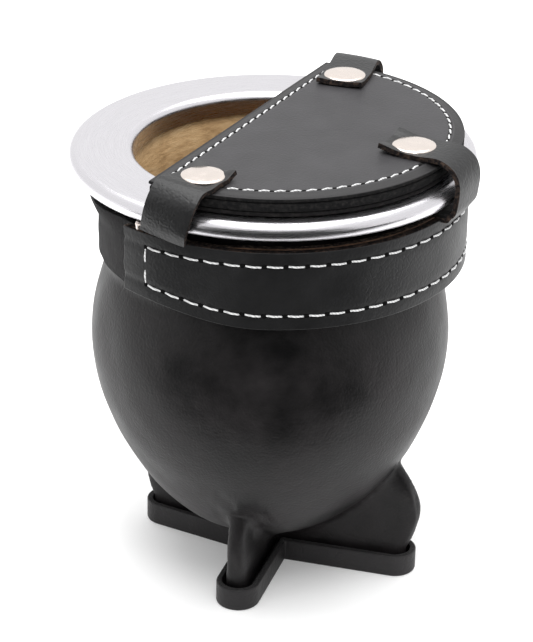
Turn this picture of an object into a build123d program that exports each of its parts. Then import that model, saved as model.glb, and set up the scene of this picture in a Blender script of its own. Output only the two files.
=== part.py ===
from build123d import *

import os
from math import acos, atan2, cos, degrees, hypot, radians, sin, sqrt

# A drinking gourd in a leather wrap: a metal rim round the mouth, a cross-shaped leather foot,
# and a leather harness on the neck that carries a half-moon cover on three riveted straps.
# Millimetres, +Z up, -Y the front. The origin is on the floor, on the axis of the cup.
# Azimuths are degrees about +Z, counted from +X.

os.makedirs("parts", exist_ok=True)

# ---------------------------------------------------------------- driving dimensions: the cup
BODY_R = 43.0  # widest radius of the bowl, over the leather
BODY_Z = 57.0  # height of the widest place
BODY_DROP = 52.0  # the lower half is this deep before its bottom is flattened
BODY_TAPER = 1.75  # 2 makes the lower half an ellipse, and less makes it taper
HOLLOW_TAPER = 2.0  # the hollow is scraped rounder than the outside
BODY_BOTTOM_Z = 6.0
NECK_R = 39.5  # radius of the neck, over the leather
NECK_Z = 79.0  # the neck is straight above this
SHOULDER_Z = 73.0
SHOULDER_BULGE = 2.0  # how far the shoulder still stands out from the neck
RIM_TOP_Z = 107.6
FLARE_DROP = 9.1  # the neck starts to flare this far below the rim's top
FLARE_OUT = 3.6
FLARE_LAND = 0.5  # the flare is straight again for this much under the rim
WRAP_T = 1.8
BOWL_STEPS = (0.0, 0.06, 0.2, 0.42, 0.7)  # heights at which the bowl's curve follows the ellipse
GLUE_GAP = 0.1
CUT_PAST = 1.0  # a cut that opens a piece runs this far past it
GOURD_WALL = 4.1

# the rim: a flat flange with a rolled edge and a skirt down into the mouth
RIM_OVERHANG = 8.5  # from the neck's leather out to the edge of the rim
RIM_T = 1.2
RIM_EDGE_H = 4.0
RIM_ROLL = 2.4
RIM_LIP = 1.4
SKIRT_T = 0.6
SKIRT_H = 5.4
SKIRT_GAP = 0.15
MOUTH_ROUND = 0.5

# ---------------------------------------------------------------- driving dimensions: the foot
FOOT_X = 1.0  # the cross is cut by hand, a little off the cup's axis
FOOT_Y = -4.0
ARM_HALF = 5.3  # half the width of an arm, and the radius of its end
FOOT_STRIP_T = 1.5
FOOT_STRIP_H = 5.7
SOLE_T = 2.6
PLEAT_T = 5.0
PLEAT_EDGE = 2.2
PLEAT_BELLY_Z = 17.0
PLEAT_SET_IN = 0.6
PLEAT_SINK = 2.5  # how far the top of a pleat runs into the bowl's leather
# azimuth, length to the centre of the round end, how far the pleat bellies, top of the pleat
ARMS = {
    "front": (-107.2, 26.1, 0.3, 26.0),
    "right": (-15.0, 31.8, 2.8, 31.0),
    "back": (70.0, 31.0, 2.4, 30.0),
    "left": (151.6, 30.0, 3.0, 29.0),
}

# ---------------------------------------------------------------- driving dimensions: the harness
TURN_GAP = 0.3  # between the neck and the harness that turns on it
STRIP_T = 1.4
STRIP_H = 18.5
STRIP_START = -92.0
STRIP_SPAN = 350.0
STRIP_FLARE_H = 8.0
STRIP_FLARE_OUT = 3.6
STRIP_FLARE_FROM = 142.0
STRIP_FLARE_TO = 217.0
BAND_GAP = 1.8  # between the neck strip and the band, where strap ends and the hook tape go
LINING_T = 1.6
BAND_T = 1.8
BAND_H = 18.8
BAND_DROP = 7.3  # from the rim's top down to the band's top
LINING_PROUD = 0.3  # the lining's raw edges show above and below the band
BAND_CUT_AZ = -136.0
PEEL_AZ = -99.0
BAND_END_AZ = 135.0
PEEL_SPLIT = 0.3
END_H = 16.0  # the band narrows to this at its cut end
HOOK_H = 9.0
HOOK_INSET = 2.5
HOOK_SPAN = 30.0
HOOK_GAP = 0.3

# ---------------------------------------------------------------- driving dimensions: the cover
COVER_GAP = 0.3
COVER_IN = 3.5  # from the rim's edge in to the cover's round edge
COVER_AZ = -27.3  # the way the middle of the round edge faces
COVER_CHORD = -8.3  # the straight edge, measured from the axis along COVER_AZ
COVER_CORNER = 1.2
COVER_LINING_T = 1.2
COVER_CORE_T = 2.3
COVER_TOP_T = 1.6
COVER_STEP = 0.3  # each lower layer is cut this much smaller

STRAP_T = 1.2
STRAP_W = 11.4
STRAP_TIP = 6.2  # from a rivet to the free tip
STRAP_FLAT = 0.6  # a strap stays flat this far past the cover's edge
STRAP_OFF_RIM = 1.3
STRAP_TUCK = 1.1  # the hanging end leans in by this
STRAP_END_DROP = 6.4  # from the rim's top down to the end of a hanging strap
FOLD_SPLIT = 0.3
ROOT_H = 16.5
ROOT_CLEAR = 0.4
ROOT_OUT = 0.9  # the sewn strap comes this far out over the band's edge

# each rivet's azimuth, how far it is in from the cover's round edge, which way its strap runs, and
# where the strap goes over the rim
RIVETS = {
    "front": (-113.0, 5.2, -128.0, -118.0),
    "side": (-27.3, 8.6, -27.3, -27.3),
    "back": (59.2, 11.0, 73.0, 64.0),
}
CAP_R = 5.1
CAP_H = 0.9
CAP_SINK = 0.3
CAP_ROUND = 0.35
POST_R = 1.4
POST_GAP = 0.05
BACK_R = 3.6
BACK_H = 0.8
BACK_GAP = 0.15

STUD_AZ = -130.8
STUD_R = 1.5
STUD_H = 1.7

# ---------------------------------------------------------------- driving dimensions: the thread
THREAD_W = 0.7
THREAD_T = 0.35
STITCH = 3.6
STITCH_PITCH = 4.8
STITCH_IN = 3.4  # from the band's edges to its stitching
END_STITCH_IN = 6.8
COVER_STITCH = 2.5
COVER_PITCH = 3.5
COVER_STITCH_IN = 3.4

# ---------------------------------------------------------------- sizes that follow
RIM_R = NECK_R + RIM_OVERHANG
GOURD_R_INSET = WRAP_T + GLUE_GAP
MOUTH_WALL_R = NECK_R - GOURD_R_INSET - GOURD_WALL
SKIRT_R = MOUTH_WALL_R - SKIRT_GAP
OPENING_R = SKIRT_R - SKIRT_T
FLANGE_UNDER_Z = RIM_TOP_Z - RIM_T
CUP_TOP_Z = FLANGE_UNDER_Z - GLUE_GAP
FLARE_Z = RIM_TOP_Z - FLARE_DROP

STRIP_IN_R = NECK_R + TURN_GAP
STRIP_OUT_R = STRIP_IN_R + STRIP_T
LINING_R = STRIP_OUT_R + BAND_GAP
BAND_IN_R = LINING_R + LINING_T
BAND_OUT_R = BAND_IN_R + BAND_T
BAND_TOP_Z = RIM_TOP_Z - BAND_DROP
BAND_LOW_Z = BAND_TOP_Z - BAND_H
STRIP_TOP_Z = FLARE_Z - TURN_GAP
STRIP_LOW_Z = STRIP_TOP_Z - STRIP_H

COVER_R = RIM_R - COVER_IN
COVER_LOW_Z = RIM_TOP_Z + COVER_GAP
CORE_Z = COVER_LOW_Z + COVER_LINING_T
TOP_Z = CORE_Z + COVER_CORE_T
COVER_TOP_Z = TOP_Z + COVER_TOP_T
STRAP_TOP_Z = COVER_TOP_Z + STRAP_T
CAP_Z = STRAP_TOP_Z - CAP_SINK
STRAP_HALF_DEG = degrees(STRAP_W / 2 / RIM_R)
HANG_R = RIM_R + STRAP_OFF_RIM
STRAP_ARCH = HANG_R + STRAP_T - COVER_R - STRAP_FLAT
FOLD_R = COVER_R + FOLD_SPLIT
HANG_END_Z = RIM_TOP_Z - STRAP_END_DROP
FLIP_R = BAND_OUT_R + ROOT_OUT + FOLD_SPLIT
ROOT_Z = BAND_TOP_Z + LINING_PROUD + ROOT_CLEAR
RIVET_PLACES = {
    name: ((COVER_R - inset) * cos(radians(azimuth)), (COVER_R - inset) * sin(radians(azimuth)))
    for name, (azimuth, inset, _, _) in RIVETS.items()
}


# ---------------------------------------------------------------- helpers
def upright(azimuth, x=0.0, y=0.0):
    """The vertical plane through (x, y) whose X runs out along an azimuth and whose Y is up."""
    a = radians(azimuth)
    return Plane(origin=(x, y, 0), x_dir=(cos(a), sin(a), 0), z_dir=(sin(a), -cos(a), 0))


def level(z, azimuth=0.0, x=0.0, y=0.0):
    """The horizontal plane at a height, with its X turned to an azimuth."""
    a = radians(azimuth)
    return Plane(origin=(x, y, z), x_dir=(cos(a), sin(a), 0), z_dir=(0, 0, 1))


def finish(builder, name):
    """Labels a finished piece and writes it under its own name."""
    builder.part.label = name
    export_step(builder.part, f"parts/{name}.step")


def bowl_radius(z, inset=0.0, taper=BODY_TAPER):
    """The radius of the bowl's lower half at a height, this far inside the leather's outer face."""
    depth = min(1.0, (BODY_Z - z) / (BODY_DROP - inset))
    return (BODY_R - inset) * (1 - depth**taper) ** (1 / taper)


def cup_outline(inset, top_z, flared):
    """Half the cup's section, this far inside the leather's outer face, as a closed line. The flared
    ones are outer faces, and the one that isn't is the hollow."""
    bottom_z = BODY_BOTTOM_Z + inset
    heights = [bottom_z + (BODY_Z - bottom_z) * share for share in BOWL_STEPS]
    taper = BODY_TAPER if flared else HOLLOW_TAPER
    bowl = [(bowl_radius(z, inset, taper), z) for z in heights]
    flat_r = bowl[0][0]
    neck_r = NECK_R - inset
    shoulder = (neck_r + SHOULDER_BULGE, SHOULDER_Z)
    Spline(*bowl, (BODY_R - inset, BODY_Z), shoulder, (neck_r, NECK_Z))
    if flared:
        flare = (neck_r + FLARE_OUT, CUP_TOP_Z - FLARE_LAND)
        Line((neck_r, NECK_Z), (neck_r, FLARE_Z))
        Spline((neck_r, FLARE_Z), flare, tangents=((0, 1), (0.5, 1)))
        Polyline(flare, (neck_r + FLARE_OUT, top_z), (0, top_z))
    else:
        Line((neck_r, NECK_Z), (neck_r, top_z))
        Line((neck_r, top_z), (0, top_z))
    Line((0, top_z), (0, bottom_z))
    Line((0, bottom_z), (flat_r, bottom_z))


def curved_strip(inner_r, outer_r, low_z, high_z, start, span):
    """A strip bent round the cup's axis, from one azimuth through a span."""
    with BuildPart() as strip:
        with BuildSketch(upright(start)):
            with Locations(((inner_r + outer_r) / 2, (low_z + high_z) / 2)):
                Rectangle(outer_r - inner_r, high_z - low_z)
        revolve(axis=Axis.Z, revolution_arc=span)
    return strip.part


def cross(half):
    """The footprint's cross: four round-ended arms from one centre."""
    for azimuth, length, _, _ in ARMS.values():
        with Locations((length / 2 * cos(radians(azimuth)), length / 2 * sin(radians(azimuth)))):
            SlotCenterToCenter(length, 2 * half, rotation=azimuth)


def make_pleat(azimuth, length, belly, top_z):
    """One fold of the wrap's leather, standing on an arm of the foot and running up into the bowl."""
    foot_end = length + ARM_HALF - FOOT_STRIP_T - PLEAT_SET_IN
    out_x, out_y = cos(radians(azimuth)), sin(radians(azimuth))
    offset_along = FOOT_X * out_x + FOOT_Y * out_y
    offset_across = FOOT_X * out_y - FOOT_Y * out_x
    reach = sqrt(bowl_radius(top_z) ** 2 - offset_across**2) - offset_along - PLEAT_SINK
    with BuildPart() as pleat:
        with BuildSketch(upright(azimuth, FOOT_X, FOOT_Y)):
            with BuildLine():
                Polyline((0, SOLE_T), (foot_end, SOLE_T), (foot_end, FOOT_STRIP_H))
                Spline((foot_end, FOOT_STRIP_H), (foot_end + belly, PLEAT_BELLY_Z), (reach, top_z))
                Polyline((reach, top_z), (0, top_z), (0, SOLE_T))
            make_face()
        extrude(amount=PLEAT_T / 2, both=True)
        heel = pleat.edges().filter_by(Axis.Z).sort_by(lambda edge: hypot(*(edge @ 0)))[-2:]
        fillet(pleat.edges().filter_by(GeomType.BSPLINE) + heel, PLEAT_EDGE)
    return pleat.part


def cover_sketch(shrink):
    """The half-moon, drawn on a level plane whose X faces along COVER_AZ."""
    Circle(COVER_R - shrink)
    with Locations((COVER_CHORD + shrink - COVER_R, 0)):
        Rectangle(2 * COVER_R, 3 * COVER_R, mode=Mode.SUBTRACT)
    fillet(vertices(), COVER_CORNER)


def hanging_outline(start_r, end_z, foot_r=None):
    """A strap's section: from its fold at the cover's edge, over the rim and down outside it."""
    outer_r = HANG_R + STRAP_T
    centre_r = outer_r - STRAP_ARCH
    low_z = STRAP_TOP_Z - STRAP_ARCH
    lean_r = HANG_R - STRAP_TUCK
    under_z = STRAP_TOP_Z - STRAP_T
    Line((start_r, STRAP_TOP_Z), (centre_r, STRAP_TOP_Z))
    CenterArc((centre_r, low_z), STRAP_ARCH, 0, 90)
    if foot_r is None:
        Polyline((outer_r, low_z), (lean_r + STRAP_T, end_z), (lean_r, end_z), (HANG_R, low_z))
    else:
        knee_z = end_z + STRAP_T
        Polyline((outer_r, low_z), (lean_r + STRAP_T, knee_z), (lean_r, end_z), (foot_r, end_z))
        Polyline((foot_r, end_z), (foot_r, knee_z), (lean_r, knee_z), (HANG_R, low_z))
    CenterArc((centre_r, low_z), STRAP_ARCH - STRAP_T, 0, 90)
    Polyline((centre_r, under_z), (start_r, under_z), (start_r, STRAP_TOP_Z))


def band_stitches(azimuths, z):
    """Where the band's stitches lie in one row, each along the band's face."""
    r = BAND_OUT_R + THREAD_T / 2
    return [
        Location((r * cos(radians(a)), r * sin(radians(a)), z), (0, 0, a + 90)) for a in azimuths
    ]


# ---------------------------------------------------------------- the cup
with BuildPart() as gourd:
    with BuildSketch(Plane.XZ):
        with BuildLine():
            cup_outline(GOURD_R_INSET, CUP_TOP_Z, True)
        make_face()
    revolve(axis=Axis.Z)
    with BuildSketch(Plane.XZ):
        with BuildLine():
            cup_outline(GOURD_R_INSET + GOURD_WALL, CUP_TOP_Z + CUT_PAST, False)
        make_face()
    revolve(axis=Axis.Z, mode=Mode.SUBTRACT)
finish(gourd, "gourd")

pleats = [make_pleat(*arm) for arm in ARMS.values()]

with BuildPart() as leather_wrap:
    with BuildSketch(Plane.XZ):
        with BuildLine():
            cup_outline(0.0, CUP_TOP_Z, True)
        make_face()
    revolve(axis=Axis.Z)
    add(pleats)
    with BuildSketch(Plane.XZ):
        with BuildLine():
            cup_outline(WRAP_T, CUP_TOP_Z + CUT_PAST, True)
        make_face()
    revolve(axis=Axis.Z, mode=Mode.SUBTRACT)
finish(leather_wrap, "leather_wrap")

with BuildPart() as rim:
    edge_low_z = RIM_TOP_Z - RIM_EDGE_H
    with BuildSketch(Plane.XZ):
        with BuildLine():
            Polyline(
                (RIM_R - RIM_ROLL, RIM_TOP_Z),
                (OPENING_R, RIM_TOP_Z),
                (OPENING_R, RIM_TOP_Z - SKIRT_H),
                (SKIRT_R, RIM_TOP_Z - SKIRT_H),
                (SKIRT_R, FLANGE_UNDER_Z),
                (RIM_R - RIM_LIP, FLANGE_UNDER_Z),
                (RIM_R - RIM_LIP, edge_low_z),
            )
            Line((RIM_R - RIM_LIP, edge_low_z), (RIM_R - RIM_LIP / 2, edge_low_z))
            Spline(
                (RIM_R - RIM_LIP / 2, edge_low_z),
                (RIM_R, RIM_TOP_Z - RIM_ROLL),
                (RIM_R - RIM_ROLL, RIM_TOP_Z),
                tangents=((1, 0.2), (-1, 0)),
            )
        make_face()
        mouth = vertices().group_by(Axis.X)[0].sort_by(Axis.Y)[-1]
        fillet(mouth, MOUTH_ROUND)
    revolve(axis=Axis.Z)
finish(rim, "rim")

# ---------------------------------------------------------------- the foot
foot_plane = level(0, 0, FOOT_X, FOOT_Y)

with BuildPart() as foot_strip:
    with BuildSketch(foot_plane):
        cross(ARM_HALF)
    extrude(amount=FOOT_STRIP_H)
    with BuildSketch(foot_plane):
        cross(ARM_HALF - FOOT_STRIP_T)
    extrude(amount=FOOT_STRIP_H, mode=Mode.SUBTRACT)
finish(foot_strip, "foot_strip")

with BuildPart() as foot_sole:
    with BuildSketch(foot_plane):
        cross(ARM_HALF - FOOT_STRIP_T)
    extrude(amount=SOLE_T)
finish(foot_sole, "foot_sole")

# ---------------------------------------------------------------- the harness on the neck
with BuildPart() as neck_strip:
    add(curved_strip(STRIP_IN_R, STRIP_OUT_R, STRIP_LOW_Z, STRIP_TOP_Z, STRIP_START, STRIP_SPAN))
    flare_low_z = STRIP_TOP_Z - STRIP_FLARE_H
    with BuildSketch(upright(STRIP_FLARE_FROM)):
        with BuildLine():
            Polyline(
                (STRIP_OUT_R, STRIP_TOP_Z),
                (STRIP_OUT_R, flare_low_z),
                (STRIP_OUT_R + STRIP_FLARE_OUT, STRIP_TOP_Z),
                close=True,
            )
        make_face()
    revolve(axis=Axis.Z, revolution_arc=STRIP_FLARE_TO - STRIP_FLARE_FROM)
finish(neck_strip, "neck_strip")

band_start = PEEL_AZ + degrees(PEEL_SPLIT / BAND_OUT_R)

with BuildPart() as band_lining:
    add(
        curved_strip(
            LINING_R,
            BAND_IN_R,
            BAND_LOW_Z - LINING_PROUD,
            BAND_TOP_Z + LINING_PROUD,
            band_start,
            BAND_END_AZ - band_start,
        )
    )
finish(band_lining, "band_lining")

with BuildPart() as band_outer:
    add(
        curved_strip(
            BAND_IN_R,
            BAND_OUT_R,
            BAND_LOW_Z,
            BAND_TOP_Z,
            band_start,
            BAND_END_AZ - band_start,
        )
    )
finish(band_outer, "band_outer")

pitch_deg = degrees(STITCH_PITCH / BAND_OUT_R)
band_count = int((BAND_END_AZ - PEEL_AZ) / pitch_deg)
band_rows = [PEEL_AZ + pitch_deg * (n + 0.5) for n in range(band_count)]
low_row_z = BAND_LOW_Z + STITCH_IN
high_row_z = BAND_TOP_Z - STITCH_IN

with BuildPart() as band_thread:
    with Locations(*band_stitches(band_rows, low_row_z), *band_stitches(band_rows, high_row_z)):
        Box(STITCH, THREAD_T, THREAD_W)
finish(band_thread, "band_thread")

with BuildPart() as side_strap_root:
    side_az = RIVETS["side"][3]
    root_r = STRIP_OUT_R + (BAND_GAP - STRAP_T) / 2
    root_top_z = ROOT_Z + STRAP_T
    with BuildSketch(upright(side_az - STRAP_HALF_DEG)):
        with BuildLine():
            Polyline(
                (root_r, root_top_z - ROOT_H),
                (root_r + STRAP_T, root_top_z - ROOT_H),
                (root_r + STRAP_T, ROOT_Z),
                (FLIP_R - FOLD_SPLIT, ROOT_Z),
                (FLIP_R - FOLD_SPLIT, root_top_z),
                (root_r, root_top_z),
                close=True,
            )
        make_face()
    revolve(axis=Axis.Z, revolution_arc=2 * STRAP_HALF_DEG)
finish(side_strap_root, "side_strap_root")

# ---------------------------------------------------------------- the end of the band that peels off
with BuildPart() as flap_lining:
    add(
        curved_strip(
            LINING_R,
            BAND_IN_R,
            BAND_TOP_Z - END_H,
            BAND_TOP_Z,
            BAND_CUT_AZ,
            PEEL_AZ - BAND_CUT_AZ,
        )
    )
finish(flap_lining, "flap_lining")

with BuildPart() as flap_outer:
    add(curved_strip(BAND_IN_R, BAND_OUT_R, BAND_LOW_Z, BAND_TOP_Z, BAND_CUT_AZ, PEEL_AZ - BAND_CUT_AZ))
finish(flap_outer, "flap_outer")

with BuildPart() as anchor_stud:
    stud_x = (LINING_R + STUD_R) * cos(radians(STUD_AZ))
    stud_y = (LINING_R + STUD_R) * sin(radians(STUD_AZ))
    with BuildSketch(level(BAND_TOP_Z, 0, stud_x, stud_y)):
        Circle(STUD_R)
    extrude(amount=STUD_H)
    fillet(anchor_stud.edges().sort_by(Axis.Z)[-1], STUD_R / 2)
finish(anchor_stud, "anchor_stud")

with BuildPart() as hook_tape:
    hook_low_z = BAND_TOP_Z - END_H + HOOK_INSET
    hook_start = BAND_CUT_AZ + degrees(HOOK_INSET / LINING_R)
    add(
        curved_strip(
            STRIP_OUT_R + HOOK_GAP,
            LINING_R,
            hook_low_z,
            hook_low_z + HOOK_H,
            hook_start,
            HOOK_SPAN,
        )
    )
finish(hook_tape, "hook_tape")

end_az = BAND_CUT_AZ + degrees(END_STITCH_IN / BAND_OUT_R)
flap_count = int((PEEL_AZ - end_az) / pitch_deg)
flap_rows = [PEEL_AZ - pitch_deg * (n + 0.5) for n in range(flap_count)]
end_rows = int((high_row_z - low_row_z) / STITCH_PITCH)
end_pitch = (high_row_z - low_row_z) / end_rows
thread_r = BAND_OUT_R + THREAD_T / 2

with BuildPart() as flap_thread:
    with Locations(*band_stitches(flap_rows, low_row_z), *band_stitches(flap_rows, high_row_z)):
        Box(STITCH, THREAD_T, THREAD_W)
    with Locations(
        *(band_stitches([end_az], low_row_z + end_pitch * (n + 0.5))[0] for n in range(end_rows))
    ):
        Box(THREAD_W, THREAD_T, STITCH)
finish(flap_thread, "flap_thread")

# ---------------------------------------------------------------- the cover
with BuildPart() as cover_lining:
    with BuildSketch(level(COVER_LOW_Z, COVER_AZ)):
        cover_sketch(2 * COVER_STEP)
    extrude(amount=COVER_LINING_T)
    with BuildSketch(level(COVER_LOW_Z)):
        with Locations(*RIVET_PLACES.values()):
            Circle(BACK_R + BACK_GAP)
    extrude(amount=COVER_LINING_T, mode=Mode.SUBTRACT)
finish(cover_lining, "cover_lining")

with BuildPart() as cover_core:
    with BuildSketch(level(CORE_Z, COVER_AZ)):
        cover_sketch(COVER_STEP)
    extrude(amount=COVER_CORE_T)
    with BuildSketch(level(CORE_Z)):
        with Locations(*RIVET_PLACES.values()):
            Circle(POST_R + POST_GAP)
    extrude(amount=COVER_CORE_T, mode=Mode.SUBTRACT)
finish(cover_core, "cover_core")

with BuildPart() as cover_top:
    with BuildSketch(level(TOP_Z, COVER_AZ)):
        cover_sketch(0.0)
    extrude(amount=COVER_TOP_T)
    with BuildSketch(level(TOP_Z)):
        with Locations(*RIVET_PLACES.values()):
            Circle(POST_R + POST_GAP)
    extrude(amount=COVER_TOP_T, mode=Mode.SUBTRACT)
finish(cover_top, "cover_top")

seam_r = COVER_R - COVER_STITCH_IN
seam_x = COVER_CHORD + COVER_STITCH_IN
seam_half = degrees(acos(seam_x / seam_r))
seam_y = sqrt(seam_r**2 - seam_x**2)
arc_count = int(radians(2 * seam_half) * seam_r / COVER_PITCH)
chord_count = int(2 * seam_y / COVER_PITCH)


def under_strap(x, y):
    """Whether a place on the cover's top is under a strap or near its edge."""
    for name, (rivet_x, rivet_y) in RIVET_PLACES.items():
        azimuth = RIVETS[name][2]
        along = (x - rivet_x) * cos(radians(azimuth)) + (y - rivet_y) * sin(radians(azimuth))
        across = (y - rivet_y) * cos(radians(azimuth)) - (x - rivet_x) * sin(radians(azimuth))
        if along > -STRAP_TIP - COVER_STITCH and abs(across) < (STRAP_W + COVER_STITCH) / 2:
            return True
    return False


def cover_stitches():
    """Where the cover's stitches lie: round the arc, then along the straight edge."""
    places = []
    for n in range(arc_count):
        a = COVER_AZ - seam_half + 2 * seam_half * (n + 0.5) / arc_count
        places.append((seam_r * cos(radians(a)), seam_r * sin(radians(a)), a + 90))
    for n in range(chord_count):
        along = -seam_y + 2 * seam_y * (n + 0.5) / chord_count
        a = COVER_AZ + degrees(atan2(along, seam_x))
        r = hypot(seam_x, along)
        places.append((r * cos(radians(a)), r * sin(radians(a)), COVER_AZ + 90))
    z = COVER_TOP_Z + THREAD_T / 2
    return [Location((x, y, z), (0, 0, turn)) for x, y, turn in places if not under_strap(x, y)]


with BuildPart() as cover_thread:
    with Locations(*cover_stitches()):
        Box(COVER_STITCH, THREAD_W, THREAD_T)
finish(cover_thread, "cover_thread")

# ---------------------------------------------------------------- straps
for name, (rivet_x, rivet_y) in RIVET_PLACES.items():
    strap_az = RIVETS[name][2]
    out_x, out_y = cos(radians(strap_az)), sin(radians(strap_az))
    axis_along = -(rivet_x * out_x + rivet_y * out_y)
    axis_across = rivet_x * out_y - rivet_y * out_x
    with BuildPart() as strap_tip:
        with BuildSketch(level(COVER_TOP_Z, strap_az, rivet_x, rivet_y)):
            with Locations((COVER_R / 2 - STRAP_TIP, 0)):
                Rectangle(COVER_R, STRAP_W)
            with Locations((axis_along, axis_across)):
                Circle(COVER_R, mode=Mode.INTERSECT)
        extrude(amount=STRAP_T)
        with BuildSketch(level(CAP_Z, 0, rivet_x, rivet_y)):
            Circle(CAP_R)
        extrude(amount=CAP_SINK, mode=Mode.SUBTRACT)
        with BuildSketch(level(COVER_TOP_Z, 0, rivet_x, rivet_y)):
            Circle(POST_R + POST_GAP)
        extrude(amount=STRAP_T, mode=Mode.SUBTRACT)
    finish(strap_tip, f"{name}_strap_tip")

for name in ("front", "back"):
    over_az = RIVETS[name][3]
    with BuildPart() as hanging_strap:
        with BuildSketch(upright(over_az - STRAP_HALF_DEG)):
            with BuildLine():
                hanging_outline(FOLD_R, HANG_END_Z)
            make_face()
        revolve(axis=Axis.Z, revolution_arc=2 * STRAP_HALF_DEG)
    finish(hanging_strap, f"{name}_strap")

with BuildPart() as side_strap:
    with BuildSketch(upright(RIVETS["side"][3] - STRAP_HALF_DEG)):
        with BuildLine():
            hanging_outline(COVER_R, ROOT_Z, FLIP_R)
        make_face()
    revolve(axis=Axis.Z, revolution_arc=2 * STRAP_HALF_DEG)
finish(side_strap, "side_strap")

# ---------------------------------------------------------------- rivets
for name, (rivet_x, rivet_y) in RIVET_PLACES.items():
    with BuildPart() as rivet_cap:
        with BuildSketch(level(CAP_Z, 0, rivet_x, rivet_y)):
            Circle(CAP_R)
        extrude(amount=CAP_H)
        fillet(rivet_cap.edges().sort_by(Axis.Z)[-1], CAP_ROUND)
    finish(rivet_cap, f"{name}_rivet_cap")

    with BuildPart() as rivet_post:
        with BuildSketch(level(COVER_LOW_Z, 0, rivet_x, rivet_y)):
            Circle(BACK_R)
        extrude(amount=BACK_H)
        with BuildSketch(level(COVER_LOW_Z + BACK_H, 0, rivet_x, rivet_y)):
            Circle(POST_R)
        extrude(amount=CAP_Z - COVER_LOW_Z - BACK_H)
    finish(rivet_post, f"{name}_rivet_post")
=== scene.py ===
"""A drinking gourd in a black leather wrap, with a metal rim, a leather cross for a foot, and a stitched
leather harness on its neck that carries a half-moon cover on three strapped and riveted ends.

Everything is in metres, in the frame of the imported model: +Z up, -Y the front, the floor at z = 0.
"""

import math

import bmesh
import bpy
from mathutils import Matrix, Vector, noise


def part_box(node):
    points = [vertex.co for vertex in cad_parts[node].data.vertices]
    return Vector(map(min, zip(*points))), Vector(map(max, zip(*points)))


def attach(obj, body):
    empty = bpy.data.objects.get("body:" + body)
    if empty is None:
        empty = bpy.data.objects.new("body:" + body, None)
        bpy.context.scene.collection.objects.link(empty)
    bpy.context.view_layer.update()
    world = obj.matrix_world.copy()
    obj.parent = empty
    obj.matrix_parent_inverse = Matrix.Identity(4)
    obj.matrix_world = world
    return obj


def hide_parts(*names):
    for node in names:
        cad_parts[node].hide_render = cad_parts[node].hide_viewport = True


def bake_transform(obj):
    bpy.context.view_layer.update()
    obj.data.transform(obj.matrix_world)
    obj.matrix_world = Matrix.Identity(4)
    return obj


MM = 0.001

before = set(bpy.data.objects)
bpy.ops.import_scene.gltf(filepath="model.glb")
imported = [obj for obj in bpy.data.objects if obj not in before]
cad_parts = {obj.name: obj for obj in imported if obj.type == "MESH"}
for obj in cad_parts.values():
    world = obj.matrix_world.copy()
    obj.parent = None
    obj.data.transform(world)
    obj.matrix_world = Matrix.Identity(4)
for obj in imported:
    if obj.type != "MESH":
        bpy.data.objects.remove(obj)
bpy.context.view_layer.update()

# ---------------------------------------------------------------- places taken from the frame
rim_low, rim_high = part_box("rim")
RIM_R = (rim_high.x - rim_low.x) / 2
RIM_TOP = rim_high.z
SKIRT_LOW = rim_low.z

band_low, band_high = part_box("band_outer")
BAND_R = band_high.x
BAND_LOW = band_low.z
BAND_TOP = band_high.z
LINING_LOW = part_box("band_lining")[0].z
LINING_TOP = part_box("band_lining")[1].z
STRIP_LOW, STRIP_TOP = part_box("neck_strip")[0].z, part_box("neck_strip")[1].z

COVER_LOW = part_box("cover_lining")[0].z
CORE_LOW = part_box("cover_core")[0].z
TOP_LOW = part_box("cover_top")[0].z
COVER_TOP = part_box("cover_top")[1].z
STRAP_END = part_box("front_strap")[0].z
FOOT_STRIP_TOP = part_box("foot_strip")[1].z


def middle(node):
    """The middle of a node's box."""
    low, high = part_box(node)
    return (low + high) / 2


# ---------------------------------------------------------------- sizes of the soft parts
BAND_T = 1.8 * MM
LINING_T = 1.6 * MM
STRAP_T = 1.2 * MM
STRAP_W = 11.4 * MM
STRAP_TIP = 6.8 * MM  # how far behind a rivet its strap hides the cover's stitches
COVER_R = 44.5 * MM
COVER_FACES = math.radians(-27.3)  # the way the middle of the cover's round edge faces
COVER_CHORD = -8.3 * MM  # the cover's straight edge, from the axis
SWELLS = 3.01019  # how close together the band's slow swells are, in noise cells for each radian
BAND_CUT = math.radians(-136)
BAND_JOIN = math.radians(60)  # the band is two lengths, joined at the back
BAND_END = math.radians(135)
FLIP_R = 47.6 * MM

STITCH_PITCH = 4.8 * MM
STITCH_LENGTH = 3.7 * MM
THREAD_R = 0.24 * MM
STITCH_IN = 3.4 * MM
COVER_PITCH = 3.4 * MM
COVER_STITCH = 2.7 * MM
MOON_STEPS = 420  # faces round the cover's edge
MOON_ARC = 2 / 3  # the share of them on its round part

FOOT = Vector((1 * MM, -4 * MM, 0))
ARM_HALF = 5.3 * MM
FOOT_STRIP_T = 1.5 * MM
# azimuth of each arm of the foot in degrees, and its length in mm to the middle of its round end
ARM_PLACES = ((-107.2, 26.1), (-15, 31.8), (70, 31), (151.6, 30))
ARMS = [(math.radians(turn), length * MM) for turn, length in ARM_PLACES]


# ---------------------------------------------------------------- mesh helpers
def polar(radius, azimuth, z=0.0):
    """A point at a radius, an azimuth and a height round the cup's axis."""
    return Vector((radius * math.cos(azimuth), radius * math.sin(azimuth), z))


def piece_from(bm, name, *materials):
    """Turns a finished bmesh into a smooth-shaded object at the origin."""
    mesh = bpy.data.meshes.new(name)
    bm.to_mesh(mesh)
    bm.free()
    for material in materials:
        mesh.materials.append(material)
    mesh.shade_smooth()
    piece = bpy.data.objects.new(name, mesh)
    bpy.context.scene.collection.objects.link(piece)
    return piece


def only(kind, parts):
    """The parts of one kind in what a bmesh operator gives back."""
    return [part for part in parts if isinstance(part, kind)]


def modifier(piece, kind, **settings):
    """Adds one modifier with its settings."""
    made = piece.modifiers.new(kind.title(), kind)
    for key, value in settings.items():
        setattr(made, key, value)
    return made


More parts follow.
